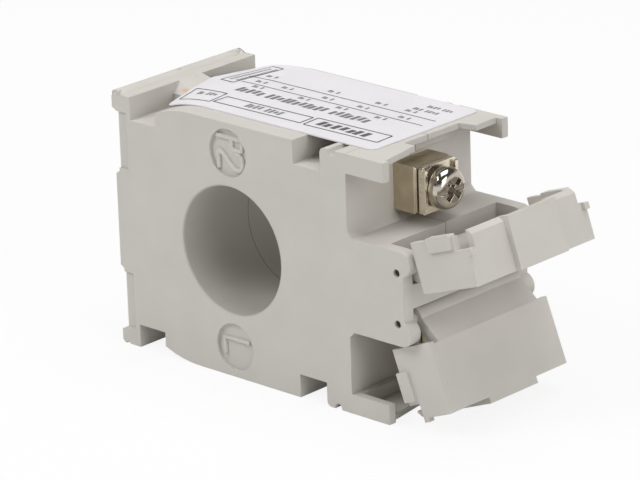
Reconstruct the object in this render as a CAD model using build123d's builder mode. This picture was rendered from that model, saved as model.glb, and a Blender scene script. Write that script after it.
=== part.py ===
from build123d import *
from math import asin, cos, radians, sin, sqrt
import os

# Window-type current transformer with two covered screw terminals.
# The origin is where the bore's axis meets the front face. +X runs from the mounting foot
# to the terminals, +Y runs along the bore to the rear face, +Z is up.
# The housing has the same form above and below the bore's axis.

# Housing
half_height = 22.0
depth = 30.0
split_y = 15.4  # where the front shell meets the rear shell
bore_d = 22.0
bore_edge = 0.35  # rounding where the bore meets each face
wall = 1.5
face_wall = 2.0
top_wall = 2.2
sleeve_wall = 1.4
shell_gap = 0.1  # round the pegs and round the terminals' tails

# Foot
foot_x = -26.5  # outer face of the end lugs
foot_inner_x = -22.3
foot_middle_step = 0.3  # the middle pad stands this much behind the lugs
foot_recess_step = 1.1
foot_middle_half = 8.6
foot_lug_height = 2.4
foot_corner = 0.5
foot_groove_x = -25.15
foot_groove_width = 0.9
bead_r = 0.6
bead_x = -25.9
bead_inset = 0.2  # how far the bead's rounded ends stand back from the faces
side_recess_depth = 0.4
side_recess_x = -23.3

# Clip channels and the raised top between them
channel_depth = 4.0
channel_1_end_x = -16.3
channel_2_x = 14.6
channel_2_end_x = 20.5
hump_drop = 1.55  # the top is this much lower beside the first channel
hump_flat_x = -8.3
web_y = 11.9  # the web that ties the foot to the body across the first channel
web_width = 5.3
web_slope = 1.8

# Grip ribs beside the second channel
rib_round = 0.9
groove_xs = (23.0, 26.6)
groove_width = 1.5
groove_depth = 0.95

# Terminal compartments
compartment_x = 25.95
arm_end_x = 34.05
arm_height = 3.3
arm_front_wall = 1.45
arm_rear_wall = 1.45
roof = 1.0
roof_notch_x = 29.8
roof_front_y = 9.8
roof_rear_y = 22.9
roof_front_x = 33.4
roof_front_inner_x = 32.0
roof_rear_x = 32.8
roof_ledge = 1.1
floor_half = 7.95
floor_rib = 0.95

# Hinges
hinge_x = 36.35
hinge_z = 4.3
ear = 2.25
ear_hole_d = 1.3
nose_r = 2.1
nose_x = 37.1
nose_z = 5.85
block_end_x = 37.7
middle_half = 2.0
pocket_x = 33.2
trunnion_d = 2.2
trunnion_length = 1.75
trunnion_end_gap = 0.1
hinge_clearance = 0.05
ear_clearance = 0.7

# Primary side marks: round recesses in the front face
mark_r = 4.1
mark_z = 16.8
mark_depth = 0.6

# Terminals
terminal_y = split_y
terminal_z = 13.75
block_height = 7.9
block_width = 8.4
block_length = 4.75
block_back = 1.0  # metal left behind the threaded hole
block_chamfer = 0.35
tail_width = 4.0
tail_thick = 1.2
tail_length = 4.2
tail_hole_d = 1.6
tail_hole_x = 23.0
clamp_gap = 0.5  # the clamp stands this much off its block, as in the photograph
clamp_thick = 0.8
clamp_size = 8.0
clamp_corner = 0.5
clamp_lip = 0.6
clamp_lip_thick = 0.7
clamp_clearance = 0.15
spring_thick = 0.7
spring_d = 6.4
spring_split = 0.6
spring_slant = 20.0
screw_d = 3.5
screw_clearance = 0.05
screw_length = 5.0
screw_tip = 0.4
head_d = 7.0
head_height = 2.5
head_round = 1.5
cross_width = 1.1
cross_length = 4.2
cross_depth = 1.5
cross_turn = 45.0
slot_width = 0.9
slot_depth = 0.7
slot_turn = 0.0

# Terminal covers, drawn closed in their hinge's frame: out is away from the foot,
# up is from the hinge to the free end
cover_wall = 1.1
cover_y = 0.75
cover_out = 4.1
cover_in = 4.3
cover_lip = 4.8
cover_start = 4.0
cover_rear_start = 4.7
cover_plate_start = 4.4
cover_end = 15.8
cover_top = 16.9
cover_top_y0 = 10.1
cover_top_y1 = 21.6
cover_notch_in = 2.0
cover_notch_up = 13.4
cover_notch_y = 1.75
lip_chamfer = 0.8
nib_width = 1.1
nib_height = 0.7
knuckle_r = 2.0
slant_up = 0.3  # where the slanted plate leaves the knuckle
latch_start = 7.8
latch_length = 5.0
latch_over = 0.4  # how far the pads stand past the wings' edges
latch_width = 2.4
latch_out = 0.5
latch_round = 0.3
upper_open = 71.3
lower_open = 21.3
lower_cover_shift = 0.6  # the lower cover has slid this far to the rear in its hinge

# Core and winding
core_r0 = 14.6
core_r1 = 17.6
core_width = 18.8
cap_wall = 0.4
wire_d = 1.2
turns = 10
wire_gap = 0.05
wire_bend = 0.7
rear_post_turn = 7.7  # half way between two of the slanted runs across the rear cap
tape_thick = 0.25
tape_width = 14.0
lead_end = 1.2  # how far each lead stands through its tail
sleeve_d = 1.9
sleeve_bore = 1.3
sleeve_length = 7.5
sleeve_gap = 0.3
post_d = 2.6
posts = 5
peg_d = 2.0
peg_length = 3.0
peg_foot_x = -24.3
peg_rib_x = 23.3
peg_z = 19.0

# Rating label
label_thick = 0.2
label_x0 = -15.2
label_x1 = 28.7
label_y0 = 3.6
label_y1 = 29.3
label_corner = 1.4

channel_z = half_height - channel_depth
hump_r = ((hump_flat_x - channel_1_end_x) ** 2 + hump_drop**2) / (2 * hump_drop)
arm_z = half_height - arm_height
roof_z = half_height - roof
nose_foot = nose_z - sqrt(nose_r**2 - (block_end_x - nose_x) ** 2)
socket_depth = trunnion_length - ear_clearance + lower_cover_shift + trunnion_end_gap
clamp_x = compartment_x + block_length + clamp_gap
spring_x = clamp_x + clamp_thick
head_x = spring_x + spring_thick
terminal_places = ((terminal_y, terminal_z), (terminal_y, -terminal_z))
core_y = split_y
cap_y0 = core_y - core_width / 2 - cap_wall
cap_y1 = core_y + core_width / 2 + cap_wall
wire_inner_r = core_r0 - cap_wall - wire_gap - wire_d / 2
wire_outer_r = core_r1 + cap_wall + wire_gap + wire_d / 2
wire_y0 = cap_y0 - wire_gap - wire_d / 2
wire_y1 = cap_y1 + wire_gap + wire_d / 2
turn_angle = 360 / turns
cavity_x0 = foot_x + foot_recess_step + wall
cavity_x1 = compartment_x - wall
cavity_side_z = channel_z - wall
cavity_top_z = half_height - top_wall
peg_places = [(x, side * peg_z) for x in (peg_foot_x, peg_rib_x) for side in (1, -1)]



def face_plane(y):
    """The drawing plane at depth y: its x is +X, its y is +Z and it faces -Y."""
    return Plane(origin=(0, y, 0), x_dir=(1, 0, 0), z_dir=(0, -1, 0))


def hump_point(x, lift=0.0, share=1.0):
    """A point on the raised top's rounded end: all the way to x, or a share of the turn."""
    turn = share * asin((hump_flat_x - x) / hump_r)
    radius = hump_r + lift
    return (hump_flat_x - radius * sin(turn), half_height - hump_r + radius * cos(turn))


def on_ring(radius, angle, y):
    """A point at a radius and an angle round the bore's axis, at depth y."""
    return (radius * cos(radians(angle)), y, radius * sin(radians(angle)))


def slab(x0, x1, up0, up1):
    """A rectangle between two pairs of opposite edges, in the sketch in use."""
    with Locations(((x0 + x1) / 2, (up0 + up1) / 2)):
        Rectangle(abs(x1 - x0), abs(up1 - up0))


def build_housing():
    """The whole housing as one hollow body, before it is divided into its two shells."""
    pad_x = foot_x + foot_middle_step
    recess_x = foot_x + foot_recess_step
    lug_z = half_height - foot_lug_height
    hump_start = (channel_1_end_x, half_height - hump_drop)

    with BuildPart() as body:
        with BuildSketch(face_plane(0)):
            with BuildLine():
                Polyline(
                    (pad_x, 0),
                    (pad_x, foot_middle_half - foot_recess_step / 2),
                    (recess_x, foot_middle_half),
                    (recess_x, lug_z - foot_recess_step / 2),
                    (foot_x, lug_z),
                    (foot_x, half_height - foot_corner),
                    (foot_x + foot_corner, half_height),
                    (foot_inner_x, half_height),
                    (foot_inner_x, channel_z),
                    (channel_1_end_x, channel_z),
                    hump_start,
                )
                ThreePointArc(
                    hump_start, hump_point(channel_1_end_x, share=0.5), (hump_flat_x, half_height)
                )
                Polyline(
                    (hump_flat_x, half_height),
                    (channel_2_x, half_height),
                    (channel_2_x, channel_z),
                    (channel_2_end_x, channel_z),
                    (channel_2_end_x, half_height - rib_round),
                )
                RadiusArc(
                    (channel_2_end_x, half_height - rib_round),
                    (channel_2_end_x + rib_round, half_height),
                    rib_round,
                )
                Polyline(
                    (channel_2_end_x + rib_round, half_height),
                    (compartment_x, half_height),
                    (compartment_x, 0),
                    (pad_x, 0),
                )
            make_face()
            mirror(about=Plane.XZ)
        extrude(amount=-depth)

        # Grip ribs
        with BuildSketch(face_plane(0)):
            for side in (1, -1):
                with Locations(*[(x, side * half_height) for x in groove_xs]):
                    Ellipse(groove_width / 2, groove_depth)
        extrude(amount=-depth, mode=Mode.SUBTRACT)

        # Foot: a groove along its two ends and a raised bead on the upper one
        with BuildSketch(face_plane(0)):
            for side in (1, -1):
                with Locations((foot_groove_x, side * half_height)):
                    Rectangle(
                        foot_groove_width / sqrt(2), foot_groove_width / sqrt(2), rotation=45
                    )
        extrude(amount=-depth, mode=Mode.SUBTRACT)
        bead_y0 = bead_inset + bead_r
        with BuildSketch(face_plane(bead_y0)):
            with Locations((bead_x, half_height)):
                Circle(bead_r)
        extrude(amount=-(depth - 2 * bead_y0))
        with Locations((bead_x, bead_y0, half_height), (bead_x, depth - bead_y0, half_height)):
            Sphere(bead_r)

        # Shallow recesses in the faces beside the foot
        recess_up0 = foot_middle_half + foot_recess_step / 2
        recess_up1 = lug_z - foot_recess_step / 2
        for y in (0, depth - side_recess_depth):
            with BuildSketch(face_plane(y)):
                for side in (1, -1):
                    slab(foot_x, side_recess_x, side * recess_up0, side * recess_up1)
            extrude(amount=-side_recess_depth, mode=Mode.SUBTRACT)

        # Carrier between the compartments, with the ribs along its two corners
        with BuildSketch(face_plane(0)):
            slab(compartment_x, pocket_x, -floor_half, floor_half)
            slab(compartment_x, block_end_x, -middle_half, middle_half)
            for side in (1, -1):
                with BuildLine():
                    Polyline(
                        (compartment_x, side * floor_half),
                        (compartment_x + floor_rib, side * floor_half),
                        (compartment_x, side * (floor_half + floor_rib)),
                        (compartment_x, side * floor_half),
                    )
                make_face()
        extrude(amount=-depth)

        # Hinge ears with their rounded noses
        for y in (0, depth - ear):
            with BuildSketch(face_plane(y)):
                with Locations((nose_x, nose_z), (nose_x, -nose_z)):
                    Circle(nose_r)
                for side in (1, -1):
                    with BuildLine():
                        Polyline(
                            (pocket_x, 0),
                            (block_end_x, 0),
                            (block_end_x, side * nose_foot),
                            (nose_x, side * nose_z),
                            (nose_x, side * floor_half),
                            (pocket_x, side * floor_half),
                            (pocket_x, 0),
                        )
                    make_face()
            extrude(amount=-ear)

        # Arms round the compartments: a front wall, a rear wall, a ledge and a thin roof
        for y, thick in ((0, arm_front_wall), (depth - arm_rear_wall, arm_rear_wall)):
            with BuildSketch(face_plane(y)):
                for side in (1, -1):
                    slab(compartment_x, arm_end_x, side * arm_z, side * half_height)
            extrude(amount=-thick)
        with BuildSketch(face_plane(0)):
            for side in (1, -1):
                slab(compartment_x, compartment_x + roof_ledge, side * arm_z, side * half_height)
        extrude(amount=-depth)
        for z in (roof_z, -half_height):
            with BuildSketch(Plane.XY.offset(z)):
                with BuildLine():
                    Polyline(
                        (compartment_x, 0),
                        (roof_front_x, 0),
                        (roof_front_x, arm_front_wall),
                        (roof_front_inner_x, roof_front_y),
                        (roof_notch_x, roof_front_y),
                        (roof_notch_x, roof_rear_y),
                        (roof_rear_x, roof_rear_y + arm_rear_wall / 2),
                        (roof_rear_x, depth),
                        (compartment_x, depth),
                        (compartment_x, 0),
                    )
                make_face()
            extrude(amount=roof)

        # The web across the first channel, with its sloping front and its sloping top
        for side in (1, -1):
            with BuildSketch(Plane.YZ.offset(foot_inner_x)):
                with BuildLine():
                    Polyline(
                        (web_y - web_slope, side * channel_z),
                        (web_y - web_slope, side * (half_height - web_slope)),
                        (web_y, side * half_height),
                        (web_y + web_width, side * half_height),
                        (web_y + web_width, side * channel_z),
                        (web_y - web_slope, side * channel_z),
                    )
                make_face()
            extrude(amount=channel_1_end_x - foot_inner_x)
            with BuildSketch(face_plane(0)):
                with BuildLine():
                    Polyline(
                        (foot_inner_x, side * half_height),
                        (channel_1_end_x, side * (half_height - hump_drop)),
                        (channel_1_end_x, side * half_height),
                        (foot_inner_x, side * half_height),
                    )
                make_face()
            extrude(amount=-depth, mode=Mode.SUBTRACT)

        # Hinge sockets, open inside each ear, with a small hole on through to the face
        with BuildSketch(face_plane(0)):
            with Locations((hinge_x, hinge_z), (hinge_x, -hinge_z)):
                Circle(ear_hole_d / 2)
        extrude(amount=-depth, mode=Mode.SUBTRACT)
        for y in (ear - socket_depth, depth - ear):
            with BuildSketch(face_plane(y)):
                with Locations((hinge_x, hinge_z), (hinge_x, -hinge_z)):
                    Circle(trunnion_d / 2 + hinge_clearance)
            extrude(amount=-socket_depth, mode=Mode.SUBTRACT)

        # Round recesses for the primary side marks
        with BuildSketch(face_plane(0)):
            with Locations((0, mark_z), (0, -mark_z)):
                Circle(mark_r)
        extrude(amount=-mark_depth, mode=Mode.SUBTRACT)

        # The cavity for the core, then the bore's sleeve and the posts that hold the core
        with BuildSketch(face_plane(face_wall)):
            slab(cavity_x0, cavity_x1, -cavity_side_z, cavity_side_z)
            slab(channel_1_end_x + wall, channel_2_x - wall, -cavity_top_z, cavity_top_z)
        extrude(amount=-(depth - 2 * face_wall), mode=Mode.SUBTRACT)
        with BuildSketch(face_plane(0)):
            Circle(bore_d / 2 + sleeve_wall)
        extrude(amount=-depth)
        for y, length, start in (
            (face_wall, cap_y0 - face_wall, turn_angle / 2),
            (cap_y1, depth - face_wall - cap_y1, rear_post_turn),
        ):
            with BuildSketch(face_plane(y)):
                with PolarLocations((core_r0 + core_r1) / 2, posts, start_angle=start):
                    Circle(post_d / 2)
            extrude(amount=-length)

        # The bore, rounded at both faces
        with BuildSketch(face_plane(0)):
            Circle(bore_d / 2)
        extrude(amount=-depth, mode=Mode.SUBTRACT)
        rims = body.edges().filter_by(GeomType.CIRCLE)
        fillet(rims.filter_by(lambda rim: abs(rim.radius - bore_d / 2) < shell_gap), bore_edge)

        # Slots that the terminals' tails pass through
        with BuildSketch(Plane.YZ.offset(cavity_x1)):
            with Locations(*terminal_places):
                Rectangle(tail_thick + 2 * shell_gap, tail_width + 2 * shell_gap)
        extrude(amount=wall, mode=Mode.SUBTRACT)
    return body


housing = build_housing()

with BuildPart() as front_shell:
    add(housing.part)
    split(bisect_by=Plane.XZ.offset(-split_y), keep=Keep.TOP)
    with BuildSketch(face_plane(split_y)):
        with Locations(*peg_places):
            Circle(peg_d / 2)
    extrude(amount=-peg_length)

with BuildPart() as rear_shell:
    add(housing.part)
    split(bisect_by=Plane.XZ.offset(-split_y), keep=Keep.BOTTOM)
    with BuildSketch(face_plane(split_y)):
        with Locations(*peg_places):
            Circle(peg_d / 2 + shell_gap)
    extrude(amount=-(peg_length + shell_gap), mode=Mode.SUBTRACT)

with BuildPart() as rating_label:
    with BuildSketch(face_plane(label_y0)):
        with BuildLine():
            Line((label_x1, half_height), (hump_flat_x, half_height))
            ThreePointArc(
                (hump_flat_x, half_height), hump_point(label_x0, share=0.5), hump_point(label_x0)
            )
            Line(hump_point(label_x0), hump_point(label_x0, label_thick))
            ThreePointArc(
                hump_point(label_x0, label_thick),
                hump_point(label_x0, label_thick, 0.5),
                (hump_flat_x, half_height + label_thick),
            )
            Polyline(
                (hump_flat_x, half_height + label_thick),
                (label_x1, half_height + label_thick),
                (label_x1, half_height),
            )
        make_face()
    extrude(amount=-(label_y1 - label_y0))
    with BuildSketch(Plane.XY.offset(half_height - hump_drop)):
        with Locations(((label_x0 + label_x1) / 2, (label_y0 + label_y1) / 2)):
            RectangleRounded(
                label_x1 - label_x0 + label_thick, label_y1 - label_y0, label_corner
            )
    extrude(amount=hump_drop + 2 * label_thick, mode=Mode.INTERSECT)


def cover_plane(side, opened, y):
    """A cover's drawing plane at depth y, on its hinge: x points out of the closed cover."""
    turn = radians(opened)
    return Plane(
        origin=(hinge_x, y, side * hinge_z),
        x_dir=(cos(turn), 0, -side * sin(turn)),
        z_dir=(0, -side, 0),
    )


def build_cover(side, opened, shift):
    """A terminal cover: side 1 covers the upper compartment and side -1 the lower one."""
    y0 = cover_y + shift
    y1 = depth - cover_y + shift
    top_y0 = cover_top_y0 + shift
    top_y1 = cover_top_y1 + shift
    knuckle_y0 = ear + ear_clearance + shift
    knuckle_y1 = depth - ear - ear_clearance + shift
    inner = cover_out - cover_wall

    with BuildPart() as cover:
        # Front plate, and the end wall that goes in under the roof
        with BuildSketch(cover_plane(side, opened, y0)):
            slab(inner, cover_out, cover_plate_start, cover_end)
            with BuildLine():
                Polyline(
                    (cover_out, cover_end - cover_wall),
                    (cover_out, cover_end),
                    (-cover_lip + lip_chamfer, cover_end),
                    (-cover_lip, cover_end - lip_chamfer),
                    (-cover_lip, cover_end - cover_wall),
                    (cover_out, cover_end - cover_wall),
                )
            make_face()
        extrude(amount=-side * (y1 - y0))

        # Raised middle of the end wall, which fills the roof's notch
        with BuildSketch(cover_plane(side, opened, top_y0)):
            slab(-cover_lip, cover_out, cover_end - cover_wall, cover_top)
        extrude(amount=-side * (top_y1 - top_y0))
        with BuildSketch(cover_plane(side, opened, top_y0 + cover_wall)):
            slab(-cover_lip, inner, cover_end - cover_wall, cover_top - cover_wall)
        extrude(amount=-side * (top_y1 - top_y0 - 2 * cover_wall), mode=Mode.SUBTRACT)

        # Side wings with a nib at the end
        for y, start in ((y0, cover_start), (y1 - cover_wall, cover_rear_start)):
            with BuildSketch(cover_plane(side, opened, y)):
                slab(-cover_in, cover_out, start, cover_end)
                slab(
                    -cover_notch_in,
                    -cover_notch_in + nib_width,
                    cover_end,
                    cover_end + nib_height,
                )
            extrude(amount=-side * cover_wall)

        # Notches where the wings and the end wall pass the arms
        for y in (y0, y1 - cover_notch_y):
            with BuildSketch(cover_plane(side, opened, y)):
                slab(-cover_lip, -cover_notch_in, cover_notch_up, cover_end)
            extrude(amount=-side * cover_notch_y, mode=Mode.SUBTRACT)

        # Rounded latch pads on the wings' outer faces, over the wings' edges
        pad_x = latch_width / 2 - cover_in - latch_over
        for y in (y0 - latch_out, y1 - cover_wall):
            with BuildSketch(cover_plane(side, opened, y)):
                with Locations((pad_x, latch_start + latch_length / 2)):
                    RectangleRounded(latch_width, latch_length, latch_round)
            extrude(amount=-side * (latch_out + cover_wall))

        # Knuckle, the slanted plate that carries the cover, and the trunnions
        with BuildSketch(cover_plane(side, opened, knuckle_y0)):
            Circle(knuckle_r)
            with BuildLine():
                Polyline(
                    (knuckle_r, slant_up),
                    (cover_out, cover_plate_start),
                    (cover_out, cover_plate_start + cover_wall),
                    (inner, cover_plate_start + cover_wall),
                    (0, knuckle_r / 2),
                    (knuckle_r, slant_up),
                )
            make_face()
        extrude(amount=-side * (knuckle_y1 - knuckle_y0))
        with BuildSketch(cover_plane(side, opened, knuckle_y0 - trunnion_length)):
            Circle(trunnion_d / 2)
        extrude(amount=-side * (knuckle_y1 - knuckle_y0 + 2 * trunnion_length))
    return cover


upper_terminal_cover = build_cover(1, upper_open, 0)
lower_terminal_cover = build_cover(-1, lower_open, lower_cover_shift)


def build_terminal_block(side):
    """A plated block with a threaded hole, and a tail that reaches into the cavity."""
    place = (terminal_y, side * terminal_z)
    with BuildPart() as block:
        with BuildSketch(Plane.YZ.offset(compartment_x)):
            with Locations(place):
                Rectangle(block_width, block_height)
        extrude(amount=block_length)
        chamfer(block.faces().sort_by(Axis.X)[-1].edges(), block_chamfer)
        with BuildSketch(Plane.YZ.offset(compartment_x)):
            with Locations(place):
                Rectangle(tail_thick, tail_width)
        extrude(amount=-tail_length)
        with BuildSketch(Plane.YZ.offset(compartment_x + block_back)):
            with Locations(place):
                Circle(screw_d / 2 + screw_clearance)
        extrude(amount=block_length - block_back, mode=Mode.SUBTRACT)
        with BuildSketch(face_plane(terminal_y - tail_thick / 2)):
            with Locations((tail_hole_x, side * terminal_z)):
                Circle(tail_hole_d / 2)
        extrude(amount=-tail_thick, mode=Mode.SUBTRACT)
    return block


def build_clamp(side):
    """The square clamp plate, with the edges at its two open sides bent outward."""
    place = (terminal_y, side * terminal_z)
    with BuildPart() as clamp:
        with BuildSketch(Plane.YZ.offset(clamp_x)):
            with Locations(place):
                RectangleRounded(clamp_size, clamp_size, clamp_corner)
                Circle(screw_d / 2 + clamp_clearance, mode=Mode.SUBTRACT)
        extrude(amount=clamp_thick)
        lip_y = clamp_size / 2 - clamp_lip_thick / 2
        with BuildSketch(Plane.YZ.offset(clamp_x + clamp_thick)):
            with Locations(
                (terminal_y - lip_y, side * terminal_z), (terminal_y + lip_y, side * terminal_z)
            ):
                Rectangle(clamp_lip_thick, clamp_size - 2 * clamp_corner)
        extrude(amount=clamp_lip)
    return clamp


def build_spring_washer(side):
    """The split washer between the clamp plate and the head."""
    place = (terminal_y, side * terminal_z)
    with BuildPart() as washer:
        with BuildSketch(Plane.YZ.offset(spring_x)):
            with Locations(place):
                Circle(spring_d / 2)
                Circle(screw_d / 2 + clamp_clearance, mode=Mode.SUBTRACT)
            with Locations((terminal_y, side * terminal_z - spring_d / 2)):
                Rectangle(spring_split, spring_d, rotation=spring_slant, mode=Mode.SUBTRACT)
        extrude(amount=spring_thick)
    return washer


def build_screw(side):
    """A pan head screw with a cross recess and a slot; its thread is left plain."""
    place = (terminal_y, side * terminal_z)
    with BuildPart() as screw:
        with BuildSketch(Plane.YZ.offset(head_x)):
            with Locations(place):
                Circle(head_d / 2)
        extrude(amount=head_height)
        fillet(screw.faces().sort_by(Axis.X)[-1].edges(), head_round)
        with BuildSketch(Plane.YZ.offset(head_x)):
            with Locations(place):
                Circle(screw_d / 2)
        extrude(amount=-screw_length)
        chamfer(screw.faces().sort_by(Axis.X)[0].edges(), screw_tip)
        with BuildSketch(Plane.YZ.offset(head_x + head_height - cross_depth)):
            with Locations(place):
                Rectangle(cross_length, cross_width, rotation=cross_turn)
                Rectangle(cross_width, cross_length, rotation=cross_turn)
        extrude(amount=cross_depth, mode=Mode.SUBTRACT)
        with BuildSketch(Plane.YZ.offset(head_x + head_height - slot_depth)):
            with Locations(place):
                Rectangle(head_d, slot_width, rotation=slot_turn)
        extrude(amount=slot_depth, mode=Mode.SUBTRACT)
    return screw


upper_terminal_block = build_terminal_block(1)
lower_terminal_block = build_terminal_block(-1)
upper_clamp_plate = build_clamp(1)
lower_clamp_plate = build_clamp(-1)
upper_spring_washer = build_spring_washer(1)
lower_spring_washer = build_spring_washer(-1)
upper_terminal_screw = build_screw(1)
lower_terminal_screw = build_screw(-1)

with BuildPart() as core:
    with BuildSketch(face_plane(core_y - core_width / 2)):
        Circle(core_r1)
        Circle(core_r0, mode=Mode.SUBTRACT)
    extrude(amount=-core_width)


def build_core_cap(outer_y):
    """One of the two insulating cups that close over the core, from its face to the middle."""
    face_y = outer_y - cap_wall if outer_y > core_y else outer_y + cap_wall
    with BuildPart() as cap:
        with BuildSketch(face_plane(core_y)):
            Circle(core_r1 + cap_wall)
            Circle(core_r0 - cap_wall, mode=Mode.SUBTRACT)
        extrude(amount=core_y - outer_y)
        with BuildSketch(face_plane(core_y)):
            Circle(core_r1)
            Circle(core_r0, mode=Mode.SUBTRACT)
        extrude(amount=core_y - face_y, mode=Mode.SUBTRACT)
    return cap


front_core_cap = build_core_cap(cap_y0)
rear_core_cap = build_core_cap(cap_y1)

# One wire: the upper terminal's lead, the turns round the core and the lower terminal's
# lead. Each turn crosses the front straight and steps on to the next one across the rear.
upper_lead_y = terminal_y + tail_thick / 2 + lead_end
lower_lead_y = terminal_y - tail_thick / 2 - lead_end
path = [(tail_hole_x, upper_lead_y, terminal_z), (tail_hole_x, wire_y0, terminal_z)]
for turn in range(turns):
    path.append(on_ring(wire_outer_r, turn * turn_angle, wire_y0))
    path.append(on_ring(wire_inner_r, turn * turn_angle, wire_y0))
    path.append(on_ring(wire_inner_r, turn * turn_angle, wire_y1))
    path.append(on_ring(wire_outer_r, (turn + 1) * turn_angle, wire_y1))
path.append((tail_hole_x, wire_y1, -terminal_z))
path.append((tail_hole_x, lower_lead_y, -terminal_z))

with BuildPart() as secondary_winding:
    with BuildLine():
        FilletPolyline(*path, radius=wire_bend)
    with BuildSketch(Plane(origin=path[0], z_dir=(0, -1, 0))):
        Circle(wire_d / 2)
    sweep()

with BuildPart() as winding_tape:
    with BuildSketch(face_plane(core_y - tape_width / 2)):
        Circle(wire_outer_r + wire_d / 2 + tape_thick)
        Circle(wire_outer_r + wire_d / 2, mode=Mode.SUBTRACT)
    extrude(amount=-tape_width)


def build_lead_sleeve(side):
    """The insulating sleeve on a lead, just before the tail it is joined to."""
    reach = side * (tail_thick / 2 + sleeve_gap)
    with BuildPart() as sleeve:
        with BuildSketch(face_plane(terminal_y - reach)):
            with Locations((tail_hole_x, side * terminal_z)):
                Circle(sleeve_d / 2)
                Circle(sleeve_bore / 2, mode=Mode.SUBTRACT)
        extrude(amount=side * sleeve_length)
    return sleeve


upper_lead_sleeve = build_lead_sleeve(1)
lower_lead_sleeve = build_lead_sleeve(-1)

os.makedirs("parts", exist_ok=True)
front_shell.part.label = "front_shell"
export_step(front_shell.part, "parts/front_shell.step")
rear_shell.part.label = "rear_shell"
export_step(rear_shell.part, "parts/rear_shell.step")
rating_label.part.label = "rating_label"
export_step(rating_label.part, "parts/rating_label.step")
upper_terminal_cover.part.label = "upper_terminal_cover"
export_step(upper_terminal_cover.part, "parts/upper_terminal_cover.step")
lower_terminal_cover.part.label = "lower_terminal_cover"
export_step(lower_terminal_cover.part, "parts/lower_terminal_cover.step")
upper_terminal_block.part.label = "upper_terminal_block"
export_step(upper_terminal_block.part, "parts/upper_terminal_block.step")
lower_terminal_block.part.label = "lower_terminal_block"
export_step(lower_terminal_block.part, "parts/lower_terminal_block.step")
upper_clamp_plate.part.label = "upper_clamp_plate"
export_step(upper_clamp_plate.part, "parts/upper_clamp_plate.step")
lower_clamp_plate.part.label = "lower_clamp_plate"
export_step(lower_clamp_plate.part, "parts/lower_clamp_plate.step")
upper_spring_washer.part.label = "upper_spring_washer"
export_step(upper_spring_washer.part, "parts/upper_spring_washer.step")
lower_spring_washer.part.label = "lower_spring_washer"
export_step(lower_spring_washer.part, "parts/lower_spring_washer.step")
upper_terminal_screw.part.label = "upper_terminal_screw"
export_step(upper_terminal_screw.part, "parts/upper_terminal_screw.step")
lower_terminal_screw.part.label = "lower_terminal_screw"
export_step(lower_terminal_screw.part, "parts/lower_terminal_screw.step")
core.part.label = "core"
export_step(core.part, "parts/core.step")
front_core_cap.part.label = "front_core_cap"
export_step(front_core_cap.part, "parts/front_core_cap.step")
rear_core_cap.part.label = "rear_core_cap"
export_step(rear_core_cap.part, "parts/rear_core_cap.step")
secondary_winding.part.label = "secondary_winding"
export_step(secondary_winding.part, "parts/secondary_winding.step")
winding_tape.part.label = "winding_tape"
export_step(winding_tape.part, "parts/winding_tape.step")
upper_lead_sleeve.part.label = "upper_lead_sleeve"
export_step(upper_lead_sleeve.part, "parts/upper_lead_sleeve.step")
lower_lead_sleeve.part.label = "lower_lead_sleeve"
export_step(lower_lead_sleeve.part, "parts/lower_lead_sleeve.step")
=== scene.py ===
"""Looks of the window-type current transformer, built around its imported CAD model."""

import math

import bpy
from mathutils import Matrix, Vector
from mathutils.bvhtree import BVHTree


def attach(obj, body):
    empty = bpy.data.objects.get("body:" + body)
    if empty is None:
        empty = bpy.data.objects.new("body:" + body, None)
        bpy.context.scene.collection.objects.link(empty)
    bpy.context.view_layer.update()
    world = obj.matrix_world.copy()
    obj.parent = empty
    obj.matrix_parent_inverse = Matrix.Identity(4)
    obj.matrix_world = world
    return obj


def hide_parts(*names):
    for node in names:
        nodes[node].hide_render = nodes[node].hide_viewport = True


MM = 0.001
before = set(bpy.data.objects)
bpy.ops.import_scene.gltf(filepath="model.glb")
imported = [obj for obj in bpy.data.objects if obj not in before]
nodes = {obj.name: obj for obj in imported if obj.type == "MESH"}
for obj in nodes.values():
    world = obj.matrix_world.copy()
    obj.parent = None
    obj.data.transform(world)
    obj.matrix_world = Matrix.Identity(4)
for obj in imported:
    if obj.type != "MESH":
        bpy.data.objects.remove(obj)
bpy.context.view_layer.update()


# ---------------------------------------------------------------- materials


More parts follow.
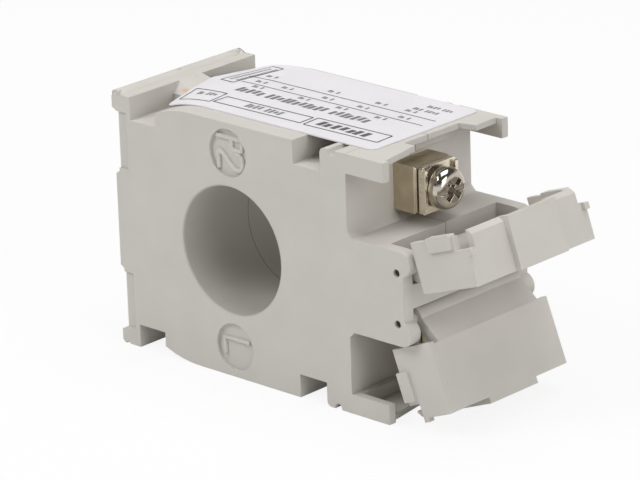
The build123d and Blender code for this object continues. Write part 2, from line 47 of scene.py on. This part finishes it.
class Graph:
    """A node material in the making: each call adds one node and gives its output."""

    def __init__(self, name):
        self.material = bpy.data.materials.new(name)
        self.material.use_nodes = True
        self.tree = self.material.node_tree
        self.tree.nodes.clear()

    def node(self, kind, values=None, **settings):
        made = self.tree.nodes.new("ShaderNode" + kind)
        for key, value in settings.items():
            setattr(made, key, value)
        for socket, value in (values or {}).items():
            if isinstance(value, bpy.types.NodeSocket):
                self.tree.links.new(value, made.inputs[socket])
            else:
                made.inputs[socket].default_value = value
        return made

    def place(self, stretch=(1, 1, 1)):
        """Points on the piece in its own frame, which moves with it."""
        points = self.node("TexCoord").outputs["Object"]
        return self.node("Mapping", {"Vector": points, "Scale": stretch}).outputs["Vector"]

    def noise(self, points, scale, detail=2.0, roughness=0.5):
        values = {"Vector": points, "Scale": scale, "Detail": detail, "Roughness": roughness}
        return self.node("TexNoise", values).outputs["Fac"]

    def ramp(self, factor, low, high, start=0.3, end=0.7):
        """A number from low to high as factor goes from start to end."""
        values = {"Value": factor, "From Min": start, "From Max": end, "To Min": low, "To Max": high}
        return self.node("MapRange", values).outputs["Result"]

    def blend(self, factor, first, second):
        """A colour from first to second as factor goes from 0 to 1; each is a colour or an output."""
        values = {0: factor}
        for socket, colour in ((6, first), (7, second)):
            values[socket] = colour if isinstance(colour, bpy.types.NodeSocket) else (*colour, 1.0)
        return self.node("Mix", values, data_type="RGBA").outputs[2]

    def edges(self, radius, low, high):
        """Low on flat faces and high along their outer edges: the mask for painted edge highlights."""
        rounded = self.node("Bevel", {"Radius": radius}, samples=6).outputs["Normal"]
        plain = self.node("NewGeometry").outputs["Normal"]
        both = {0: rounded, 1: plain}
        turned = self.node("VectorMath", both, operation="DOT_PRODUCT").outputs["Value"]
        return self.ramp(turned, high, low, 0.80, 0.985)

    def finish(self, bump=None, height=0.0, edge=0.0, **values):
        """The surface itself, with a bump's height and its edges' radius in metres."""
        shader = self.node("BsdfPrincipled", {k.replace("_", " "): v for k, v in values.items()})
        normal = None
        if edge:
            normal = self.node("Bevel", {"Radius": edge}, samples=6).outputs["Normal"]
        if bump is not None:
            inputs = {"Height": bump, "Distance": height, "Strength": 1.0}
            if normal is not None:
                inputs["Normal"] = normal
            normal = self.node("Bump", inputs).outputs["Normal"]
        if normal is not None:
            self.tree.links.new(normal, shader.inputs["Normal"])
        out = self.node("OutputMaterial")
        self.tree.links.new(shader.outputs[0], out.inputs["Surface"])
        return self.material


# Where the two shells meet, in metres. The seam shows from SEAM_X to the terminals: on the foot
# and its web the shells meet tightly
SEAM_Y = 0.0154
SEAM_X = -0.014
SEAM_CORE = 0.00003
SEAM_HALF_WIDTH = 0.00011
BORE_RADIUS = 0.01102
BORE_BLEND_RADIUS = 0.0114
# How much paler the painted highlight makes the plastic's edges
EDGE_HIGHLIGHT_LIFT = 1.25
# Marks on the housing: centre, one over the half sizes along x, y and z, strength and colour
SPOTS = (
    # An orange smear on the web across the clip channel
    ((-0.0199, 0.0108, 0.0209), (780.0, 2300.0, 3000.0), 0.65, (0.72, 0.36, 0.12)),
    # A nick on the foot where the shells meet
    ((-0.02545, 0.0150, 0.02245), (3300.0, 1300.0, 2500.0), 0.6, (0.30, 0.285, 0.26)),
)


def darker(colour, share):
    """The colour with each part brought down to that share."""
    return tuple(share * part for part in colour)


def housing_marks(g, colour, deep):
    """The colour with painted shade inside the bore, the seam between the shells and the spots laid over
    it.
    """
    radius = g.node("VectorMath", {0: g.place((1, 0, 1))}, operation="LENGTH").outputs["Value"]
    # Painted shade: the housing is darker inside the bore.
    bore_painted_shade = g.ramp(radius, 1.0, 0.0, BORE_RADIUS, BORE_BLEND_RADIUS)
    colour = g.blend(bore_painted_shade, colour, darker(deep, 0.88))

    spot = g.node("SeparateXYZ", {0: g.place()}).outputs
    off = g.node("Math", {0: spot["Y"], 1: SEAM_Y}, operation="SUBTRACT").outputs[0]
    away = g.node("Math", {0: off}, operation="ABSOLUTE").outputs[0]
    near = g.ramp(away, 0.8, 0.0, SEAM_CORE, SEAM_HALF_WIDTH)
    shown = g.node("Math", {0: spot["X"], 1: SEAM_X}, operation="GREATER_THAN").outputs[0]
    line = g.node("Math", {0: near, 1: shown}, operation="MULTIPLY").outputs[0]
    colour = g.blend(line, colour, darker(deep, 0.16))

    for centre, stretch, strength, tone in SPOTS:
        shift = g.node("VectorMath", {0: g.place(), 1: centre}, operation="SUBTRACT").outputs[0]
        share = g.node("VectorMath", {0: shift, 1: stretch}, operation="MULTIPLY").outputs[0]
        reach = g.node("VectorMath", {0: share}, operation="LENGTH").outputs["Value"]
        colour = g.blend(g.ramp(reach, strength, 0.0, 0.35, 1.0), colour, tone)
    return colour


def moulded(name, pale, deep, grain=5200, height=0.000012, edge=0.00019, edge_highlight=0.5, marks=False):
    """Moulded plastic with a fine grain, a faint unevenness of colour and a painted highlight along its
    edges.
    """
    g = Graph(name)
    points = g.place()
    fine = g.noise(points, grain, 3.0)
    broad = g.noise(points, 130, 2.0)
    colour = g.blend(g.ramp(broad, 0, 1), deep, pale)
    if edge:
        # Painted highlight: the edges are made paler than the faces.
        highlighted = tuple(min(1.0, EDGE_HIGHLIGHT_LIFT * part) for part in pale)
        colour = g.blend(g.edges(edge, 0.0, edge_highlight), colour, highlighted)
    if marks:
        colour = housing_marks(g, colour, deep)
    return g.finish(
        bump=fine,
        height=height,
        edge=edge,
        Base_Color=colour,
        Roughness=g.ramp(fine, 0.5, 0.62),
        Specular_IOR_Level=0.4,
    )


PLATE_EDGE = 0.00012


def plated(name, pale, deep, rough, height=0.000006, rim_highlight=None):
    """Nickel plate, with fine drawn marks, a faint stain and a painted highlight along its edges."""
    g = Graph(name)
    marks = g.noise(g.place(), 2600, 3.0, 0.6)
    stain = g.noise(g.place(), 420, 3.0)
    colour = g.blend(g.ramp(stain, 0, 1), deep, pale)
    # Painted highlight: the rim colour is laid along the edges.
    if rim_highlight:
        colour = g.blend(g.edges(PLATE_EDGE, 0.0, 1.0), colour, rim_highlight)
    return g.finish(
        bump=marks,
        height=height,
        edge=PLATE_EDGE,
        Base_Color=colour,
        Roughness=g.ramp(marks, rough[0], rough[1]),
        Metallic=1.0,
    )


housing = moulded("housing_grey", (0.585, 0.560, 0.520), (0.560, 0.535, 0.495), marks=True)
cover_finish = moulded("cover_grey", (0.590, 0.562, 0.520), (0.562, 0.535, 0.495), edge_highlight=0.9)
mark_finish = moulded("mark_grey", (0.60, 0.575, 0.535), (0.575, 0.55, 0.51), edge=0.0)
plate = plated(
    "nickel_plate",
    (0.64, 0.56, 0.41),
    (0.52, 0.45, 0.33),
    rough=(0.3, 0.4),
    height=0.000002,
    rim_highlight=(0.9, 0.86, 0.76),
)
clamp_plate = plated(
    "nickel_clamp",
    (0.94, 0.86, 0.71),
    (0.72, 0.65, 0.52),
    rough=(0.16, 0.3),
    rim_highlight=(0.97, 0.95, 0.9),
)
bright = plated(
    "nickel_bright",
    (0.58, 0.54, 0.47),
    (0.47, 0.43, 0.37),
    rough=(0.06, 0.12),
    height=0.000002,
    rim_highlight=(0.8, 0.77, 0.7),
)
# The spring washer's near-black colour is painted shade, standing for the shadowed gap under the screw
# head.
spring = plated("spring_washer_painted_shade", (0.09, 0.08, 0.07), (0.06, 0.055, 0.045), rough=(0.3, 0.45))


def film():
    """White label film, not quite flat."""
    g = Graph("label_film")
    points = g.place()
    fine = g.noise(points, 3000, 2.0)
    broad = g.noise(points, 90, 2.0)
    return g.finish(
        bump=broad,
        height=0.00006,
        edge=0.00008,
        Base_Color=g.blend(g.ramp(broad, 0, 1), (0.715, 0.695, 0.715), (0.755, 0.735, 0.755)),
        Roughness=g.ramp(fine, 0.3, 0.42),
        Specular_IOR_Level=0.5,
    )


def ink(name, dark, faded):
    """Thermal print: darker and lighter in fine specks."""
    g = Graph(name)
    speck = g.noise(g.place(), 7000, 3.0, 0.7)
    colour = g.blend(g.ramp(speck, 0, 1, 0.4, 0.75), dark, faded)
    return g.finish(Base_Color=colour, Roughness=g.ramp(speck, 0.4, 0.6))


def strip_steel():
    """Steel strip wound about the window's axis: fine rings round Y."""
    g = Graph("wound_strip")
    across = g.node("VectorMath", {0: g.place((1, 0, 1))}, operation="LENGTH").outputs["Value"]
    rings = g.node("Math", {0: across, 1: 20000.0}, operation="MULTIPLY").outputs[0]
    wave = g.node("Math", {0: rings}, operation="SINE").outputs[0]
    grain = g.noise(g.place((1, 0.05, 1)), 3000, 2.0)
    return g.finish(
        bump=wave,
        height=0.000006,
        Base_Color=g.blend(g.ramp(wave, 0, 1, -1, 1), (0.16, 0.165, 0.18), (0.42, 0.42, 0.43)),
        Roughness=g.ramp(grain, 0.25, 0.45),
        Metallic=1.0,
    )


def enamel():
    """Copper wire under a clear coat of enamel."""
    g = Graph("enamelled_copper")
    points = g.place()
    tone = g.noise(points, 700, 2.0)
    return g.finish(
        bump=g.noise(points, 1800, 2.0),
        height=0.000008,
        Base_Color=g.blend(g.ramp(tone, 0, 1), (0.42, 0.13, 0.04), (0.60, 0.22, 0.07)),
        Roughness=g.ramp(tone, 0.18, 0.3),
        Metallic=0.75,
        Coat_Weight=0.6,
        Coat_Roughness=0.1,
    )


def film_tape():
    """Creased amber tape."""
    g = Graph("winding_tape")
    points = g.place()
    crease = g.noise(g.place((1, 0.2, 1)), 500, 4.0, 0.6)
    return g.finish(
        bump=crease,
        height=0.00003,
        Base_Color=g.blend(g.ramp(g.noise(points, 150), 0, 1), (0.62, 0.42, 0.05), (0.72, 0.52, 0.09)),
        Roughness=g.ramp(crease, 0.2, 0.4),
    )


finishes = {
    "rating_label": film(),
    "core": strip_steel(),
    "secondary_winding": enamel(),
    "winding_tape": film_tape(),
}
for name in ("front_shell", "rear_shell"):
    finishes[name] = housing
for name in ("upper_terminal_cover", "lower_terminal_cover"):
    finishes[name] = cover_finish
for name in ("front_core_cap", "rear_core_cap"):
    finishes[name] = moulded("cap_black", (0.022, 0.022, 0.022), (0.016, 0.016, 0.017), edge=0.0001)
sleeving = moulded(
    "sleeving", (0.66, 0.65, 0.60), (0.58, 0.57, 0.52), grain=3500, height=0.00004, edge=0.0
)
for side in ("upper", "lower"):
    finishes[side + "_terminal_block"] = plate
    finishes[side + "_clamp_plate"] = clamp_plate
    finishes[side + "_spring_washer"] = spring
    finishes[side + "_terminal_screw"] = bright
    finishes[side + "_lead_sleeve"] = sleeving
for name, finish in finishes.items():
    nodes[name].data.materials.clear()
    nodes[name].data.materials.append(finish)


# ---------------------------------------------------------------- the label and its print


def new_piece(name, mesh):
    """An object of that name with that mesh, lamp or camera, in the scene."""
    piece = bpy.data.objects.new(name, mesh)
    bpy.context.scene.collection.objects.link(piece)
    return piece


LABEL_TOP = 22.2
LABEL_THICK = 0.2
LABEL_CORNER = 1.4
LABEL_RIGHT = 28.7
LABEL_FLAT_X = -8.3
# The free end, which hangs over the first clip channel: y, the end's x and how far it hangs down
LABEL_END = ((3.6, -17.4, 1.6), (11.9, -18.9, 0.72), (17.2, -19.9, 0.5), (29.3, -18.2, 1.1))


def between(y, rows):
    """The values of rows at y, on straight lines from one row to the next."""
    for low, high in zip(rows, rows[1:]):
        if y <= high[0]:
            share = (y - low[0]) / (high[0] - low[0])
            return [(1 - share) * p + share * q for p, q in zip(low[1:], high[1:])]
    return list(rows[-1][1:])


def label_height(x, y):
    """The label's upper face: flat, then bent down in an arc towards the free end."""
    out = LABEL_FLAT_X - x
    if out <= 0:
        return LABEL_TOP
    end_x, drop = between(y, LABEL_END)
    reach = LABEL_FLAT_X - end_x
    radius = (reach**2 + drop**2) / (2 * drop)
    return LABEL_TOP - radius + math.sqrt(radius**2 - out**2)


def label_mesh():
    """The label as a thin sheet with rounded corners, its free end bent down over the clip channel."""
    y0, y1 = LABEL_END[0][0], LABEL_END[-1][0]
    bend = [LABEL_CORNER * (1 - math.cos(k * math.pi / 16)) for k in range(9)]
    rows = 24
    middle = [y0 + LABEL_CORNER + (y1 - y0 - 2 * LABEL_CORNER) * k / rows for k in range(1, rows)]
    ys = [y0 + d for d in bend] + middle + [y1 - d for d in reversed(bend)]
    columns = 96
    points = []
    for y in ys:
        near = min(y - y0, y1 - y, LABEL_CORNER)
        inset = LABEL_CORNER - math.sqrt(max(0.0, LABEL_CORNER**2 - (LABEL_CORNER - near) ** 2))
        left, right = between(y, LABEL_END)[0] + inset, LABEL_RIGHT - inset
        for k in range(columns + 1):
            x = left + (right - left) * k / columns
            points.append((x * MM, y * MM, label_height(x, y) * MM))
    count = len(points)
    points += [(x, y, z - LABEL_THICK * MM) for x, y, z in points]
    wide = columns + 1
    faces = []
    for j in range(len(ys) - 1):
        for i in range(columns):
            p = j * wide + i
            faces.append((p, p + 1, p + wide + 1, p + wide))
            faces.append((count + p, count + p + wide, count + p + wide + 1, count + p + 1))
    last = (len(ys) - 1) * wide
    for i in range(columns):
        faces.append((i, count + i, count + i + 1, i + 1))
        faces.append((last + i, last + i + 1, count + last + i + 1, count + last + i))
    for j in range(len(ys) - 1):
        p, q = j * wide, j * wide + columns
        faces.append((p, p + wide, count + p + wide, count + p))
        faces.append((q, count + q, count + q + wide, q + wide))
    mesh = bpy.data.meshes.new("draped_label")
    mesh.from_pydata(points, [], faces)
    mesh.materials.append(finishes["rating_label"])
    return mesh


draped = new_piece("draped_label", label_mesh())
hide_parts("rating_label")
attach(draped, "housing")
label_tree = BVHTree.FromPolygons(
    [vertex.co.copy() for vertex in draped.data.vertices],
    [tuple(face.vertices) for face in draped.data.polygons],
)
INK_LIFT = 0.03
INK_STEP = 0.5
FRAME_LINE = 0.26


def on_label(x, y):
    """The label's upper face at that place, in metres, and a hair above it."""
    found = label_tree.ray_cast(Vector((x * MM, y * MM, 0.1)), Vector((0, 0, -1)))[0]
    return found + Vector((0, 0, INK_LIFT * MM)) if found else None


def ink_piece(name, finish, quads):
    """Printed four-sided patches, each by its corners in mm in order, laid on the label."""
    points, faces = [], []
    for corners in quads:
        p, q, r, t = (Vector(corner) for corner in corners)
        across = max(1, math.ceil((q - p).length / INK_STEP))
        along = max(1, math.ceil((t - p).length / INK_STEP))
        first = len(points)
        grid = []
        for i in range(across + 1):
            for j in range(along + 1):
                u, v = i / across, j / along
                grid.append(on_label(*((1 - v) * ((1 - u) * p + u * q) + v * ((1 - u) * t + u * r))))
        if None in grid:
            continue
        points.extend(grid)
        for i in range(across):
            for j in range(along):
                a = first + i * (along + 1) + j
                faces.append((a, a + along + 1, a + along + 2, a + 1))
    mesh = bpy.data.meshes.new(name)
    mesh.from_pydata(points, [], faces)
    mesh.materials.append(finish)
    piece = new_piece(name, mesh)
    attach(piece, "housing")


def rule(start, end, width=FRAME_LINE):
    """A printed line of that width from start to end."""
    start, end = Vector(start), Vector(end)
    way = (end - start).normalized()
    side = Vector((-way.y, way.x)) * width / 2
    return (start - side, end - side, end + side, start + side)


def outline(*corners):
    """The four sides of a printed frame."""
    return [rule(corners[i - 1], corners[i]) for i in range(len(corners))]


def words(x0, x1, y0, y1, lengths, pitch, lean=0.0):
    """A row of small blocks in groups, which stands for a line of print."""
    patches, x = [], x0
    width = 0.62 * pitch
    for group in range(len(lengths)):
        for place in range(lengths[group]):
            if x + width > x1:
                return patches
            tall = y1 - y0
            low = y0 + 0.16 * tall * ((place * 7 + group * 3) % 4 == 1)
            high = y1 - 0.2 * tall * ((place * 5 + group) % 3 == 2)
            patches.append(((x, low), (x + width, low), (x + width + lean, high), (x + lean, high)))
            x += pitch * (1.0 if (place + group) % 4 else 0.82)
        x += 0.75 * pitch
    return patches


frames = outline((-16.8, 6.2), (-9.8, 6.1), (-10.4, 11.0), (-17.7, 11.3))
frames += outline((-9.2, 6.5), (9.9, 6.8), (9.8, 10.15), (-9.1, 9.75))
frames += outline((10.9, 6.6), (26.6, 6.9), (26.4, 10.8), (10.6, 10.45))
frames += outline((-17.4, 16.7), (-14.2, 16.3), (-12.7, 26.9), (-16.1, 27.7))
frames += [rule((-13.4, 17.5), (26.6, 17.7), 0.2), rule((-14.6, 20.6), (26.8, 20.7), 0.2)]
ink_piece("label_frames", ink("ink_line", (0.05, 0.05, 0.055), (0.13, 0.13, 0.135)), frames)
heading = words(-10.9, 18.6, 13.1, 15.2, (5, 11, 7), 1.25, 0.2)
ink_piece("label_heading", ink("ink_heavy", (0.11, 0.11, 0.115), (0.30, 0.30, 0.30)), heading)
small = words(-3.4, 5.0, 7.6, 9.3, (4, 4), 0.95)
small += words(-15.6, -11.4, 8.9, 10.2, (2, 3), 0.8)
for column in range(2):
    for k in range(14):
        x, y = -16.4 + 1.5 * column + 0.09 * k, 17.6 + 0.62 * k
        small.append(((x, y), (x + 0.7, y), (x + 0.7, y + 0.4), (x, y + 0.4)))
rows = (
    (16.1, (-9.8, 0.6, 9.0, 17.5)),
    (18.6, (-11.4, -5.5, 3.6, 11.4, 20.4)),
    (21.8, (-12.0, 2.0, 12.5, 19.0)),
)
for y, starts in rows:
    for start in starts:
        small += words(start, start + 3.0, y, y + 0.95, (2, 2), 0.72)
small += words(19.4, 26.3, 23.3, 24.3, (3, 4), 0.72)
small += words(20.6, 26.0, 25.4, 26.4, (4, 3), 0.72)
ink_piece("label_small_print", ink("ink_light", (0.16, 0.16, 0.165), (0.36, 0.36, 0.36)), small)
bold = words(12.4, 24.6, 7.7, 9.7, (7,), 1.7, 0.25)
ink_piece("label_bold_print", ink("ink_bold", (0.06, 0.06, 0.065), (0.16, 0.16, 0.165)), bold)


# ---------------------------------------------------------------- the marks in the round recesses

STROKE = 0.43
STROKE_Y = 0.52


def mark(name, strokes):
    """Raised characters: each stroke is a list of (x, z) in mm, and a rounded bar follows it."""
    curve = bpy.data.curves.new(name, "CURVE")
    curve.dimensions = "3D"
    curve.bevel_depth = STROKE * MM
    curve.bevel_resolution = 4
    curve.use_fill_caps = True
    for points, smooth in strokes:
        line = curve.splines.new("NURBS" if smooth else "POLY")
        line.points.add(len(points) - 1)
        for spot, (x, z) in zip(line.points, points):
            spot.co = (x * MM, STROKE_Y * MM, z * MM, 1)
        if smooth:
            line.order_u = 3
            line.use_endpoint_u = True
            line.resolution_u = 8
    source = bpy.data.objects.new(name + "_line", curve)
    mesh = bpy.data.meshes.new_from_object(source)
    bpy.data.objects.remove(source)
    for face in mesh.polygons:
        face.use_smooth = True
    mesh.materials.clear()
    mesh.materials.append(mark_finish)
    piece = new_piece(name, mesh)
    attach(piece, "housing")


HOOK = ((3.0, 19.4), (3.0, 18.4), (2.9, 17.5), (1.8, 17.35), (0.7, 17.5), (0.6, 18.4), (0.6, 19.4))
TAIL = (
    (-2.4, 16.9), (-1.2, 16.4), (0.2, 14.9), (1.5, 13.9),
    (2.9, 14.3), (3.1, 15.7), (2.5, 16.8), (1.5, 16.9),
)
mark(
    "upper_mark",
    [
        ([(-2.6, 19.4), (3.0, 19.4)], False),
        (HOOK, True),
        ([(-2.4, 13.9), (-2.4, 16.9)], False),
        (TAIL, True),
    ],
)
mark("lower_mark", [([(-2.5, -18.4), (-2.5, -15.55), (3.1, -15.55)], False)])


# ---------------------------------------------------------------- the foot's rounded upper edge

# One smooth rounding over the bead, drawn in x and z from the outer face to the foot's top
FOOT_ROUND = (
    (-26.5, 21.55), (-26.5, 22.05), (-26.42, 22.28), (-26.28, 22.46), (-26.08, 22.57), (-25.85, 22.6),
    (-25.55, 22.59), (-25.2, 22.51), (-24.85, 22.36), (-24.5, 22.12), (-24.3, 21.95), (-24.3, 21.55),
)
FOOT_BASE = (-25.6, 21.55)  # the rounding draws in towards this point at its two ends
FOOT_Y = (0.2, 29.8)
FOOT_END = 0.7
FOOT_END_STEPS = 6
FOOT_END_SHRINK = 0.55
FOOT_STEPS = 20


def foot_round(name):
    """The rounding along the foot's upper edge, from the front face to the rear face."""
    ends = []
    for k in range(FOOT_END_STEPS + 1):
        angle = k * math.pi / 2 / FOOT_END_STEPS
        ends.append((FOOT_END * (1 - math.sin(angle)), math.cos(angle)))
    sections = [(FOOT_Y[0] + off, shrink) for off, shrink in reversed(ends)]
    length = FOOT_Y[1] - FOOT_Y[0]
    sections += [(FOOT_Y[0] + length * k / FOOT_STEPS, 0.0) for k in range(1, FOOT_STEPS)]
    sections += [(FOOT_Y[1] - off, shrink) for off, shrink in ends]
    points = []
    for y, shrink in sections:
        pull = 1 - FOOT_END_SHRINK * shrink
        for x, z in FOOT_ROUND:
            x = FOOT_BASE[0] + (x - FOOT_BASE[0]) * pull
            z = FOOT_BASE[1] + (z - FOOT_BASE[1]) * pull
            points.append((x * MM, y * MM, z * MM))
    wide = len(FOOT_ROUND)
    faces = []
    for j in range(len(sections) - 1):
        for i in range(wide):
            p, q = j * wide + i, j * wide + (i + 1) % wide
            faces.append((p, q, q + wide, p + wide))
    faces.append(tuple(reversed(range(wide))))
    faces.append(tuple(range((len(sections) - 1) * wide, len(sections) * wide)))
    mesh = bpy.data.meshes.new(name)
    mesh.from_pydata(points, [], faces)
    for face in mesh.polygons:
        face.use_smooth = len(face.vertices) == 4
    mesh.materials.append(housing)
    piece = new_piece(name, mesh)
    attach(piece, "housing")


foot_round("foot_rounding_upper")


# ---------------------------------------------------------------- floor, backdrop and light

FLOOR_Z = -22.0 * MM


def seen(g):
    """1 where the camera sees the surface, straight or in a reflection, and 0 for the light it gives."""
    rays = g.node("LightPath").outputs
    direct = {0: rays["Is Camera Ray"], 1: rays["Is Glossy Ray"]}
    both = g.node("Math", direct, operation="MAXIMUM").outputs[0]
    through = {0: both, 1: rays["Is Transmission Ray"]}
    return g.node("Math", through, operation="MAXIMUM").outputs[0]


def floor_finish():
    """Pale and plain, kept white to the eye with a little of the object's shadow left in it."""
    g = Graph("floor_white")
    tone = g.noise(g.place(), 3.0)
    colour = g.blend(g.ramp(tone, 0, 1), (0.80, 0.80, 0.80), (0.82, 0.82, 0.82))
    lit = g.node("BsdfDiffuse", {"Color": colour})
    white = g.node("Emission", {"Color": (1, 1, 1, 1), "Strength": 1.0})
    share = g.node("Math", {0: seen(g), 1: 0.88}, operation="MULTIPLY").outputs[0]
    mix = g.node("MixShader", {0: share, 1: lit.outputs[0], 2: white.outputs[0]})
    out = g.node("OutputMaterial")
    g.tree.links.new(mix.outputs[0], out.inputs["Surface"])
    return g.material


def sheet_mesh(name, size, z):
    half = size / 2
    mesh = bpy.data.meshes.new(name)
    corners = [(-half, -half, z), (half, -half, z), (half, half, z), (-half, half, z)]
    mesh.from_pydata(corners, [], [(0, 1, 2, 3)])
    return new_piece(name, mesh)


floor = sheet_mesh("floor", 6.0, FLOOR_Z - 0.00002)
floor.data.materials.append(floor_finish())

world = bpy.data.worlds.new("studio")
bpy.context.scene.world = world
world.use_nodes = True
tree = world.node_tree
tree.nodes.clear()
rays = tree.nodes.new("ShaderNodeLightPath").outputs
either = tree.nodes.new("ShaderNodeMath")
either.operation = "MAXIMUM"
tree.links.new(rays["Is Camera Ray"], either.inputs[0])
tree.links.new(rays["Is Glossy Ray"], either.inputs[1])
through = tree.nodes.new("ShaderNodeMath")
through.operation = "MAXIMUM"
tree.links.new(either.outputs[0], through.inputs[0])
tree.links.new(rays["Is Transmission Ray"], through.inputs[1])
# Seen from the object, the room is pale near the floor and dim above, between the lamps
height = tree.nodes.new("ShaderNodeSeparateXYZ")
tree.links.new(tree.nodes.new("ShaderNodeTexCoord").outputs["Generated"], height.inputs[0])
wall = tree.nodes.new("ShaderNodeMapRange")
for socket, value in (("From Min", 0.22), ("From Max", 0.5), ("To Min", 1.0), ("To Max", 0.10)):
    wall.inputs[socket].default_value = value
tree.links.new(height.outputs["Z"], wall.inputs["Value"])
level = tree.nodes.new("ShaderNodeMapRange")
level.inputs["To Min"].default_value = 0.30
tree.links.new(wall.outputs["Result"], level.inputs["To Max"])
tree.links.new(through.outputs[0], level.inputs["Value"])
sky = tree.nodes.new("ShaderNodeBackground")
sky.inputs["Color"].default_value = (1.0, 1.0, 1.0, 1.0)
tree.links.new(level.outputs["Result"], sky.inputs["Strength"])
tree.links.new(sky.outputs[0], tree.nodes.new("ShaderNodeOutputWorld").inputs["Surface"])


LAMP_TARGET = (0.01, 0.01, 0)


def lamp(name, place, size, power):
    """A square lamp of that side in metres and that power in watts, turned to the object."""
    light = bpy.data.lights.new(name, "AREA")
    light.shape = "RECTANGLE"
    light.size = light.size_y = size
    light.energy = power
    piece = new_piece(name, light)
    piece.location = Vector(place)
    piece.rotation_euler = (Vector(LAMP_TARGET) - Vector(place)).to_track_quat("-Z", "Y").to_euler()


lamp("key", (-0.25, -0.45, 0.55), 0.35, 2.5)
lamp("side", (0.62, -0.05, 0.30), 0.4, 1.5)
lamp("top", (0.05, 0.10, 0.60), 0.45, 1.9)


# ---------------------------------------------------------------- camera

AZIMUTH, ELEVATION, ROLL = (math.radians(angle) for angle in (43.57, 19.47, 1.89))
DISTANCE = 0.69943
back = Vector(
    (
        math.sin(AZIMUTH) * math.cos(ELEVATION),
        -math.cos(AZIMUTH) * math.cos(ELEVATION),
        math.sin(ELEVATION),
    )
)
level_right = Vector((math.cos(AZIMUTH), math.sin(AZIMUTH), 0))
level_up = back.cross(level_right)
right = math.cos(ROLL) * level_right - math.sin(ROLL) * level_up
up = math.sin(ROLL) * level_right + math.cos(ROLL) * level_up
view = bpy.data.cameras.new("view")
view.lens = 241.32
view.sensor_width = 36.0
view.clip_start = 0.05
view.clip_end = 20.0
camera = new_piece("view", view)
turn = Matrix((right, up, back)).transposed().to_4x4()
camera.matrix_world = Matrix.Translation(DISTANCE * back + 0.014454 * right + 0.001826 * up) @ turn
bpy.context.scene.camera = camera
bpy.context.scene.view_settings.view_transform = "Standard"
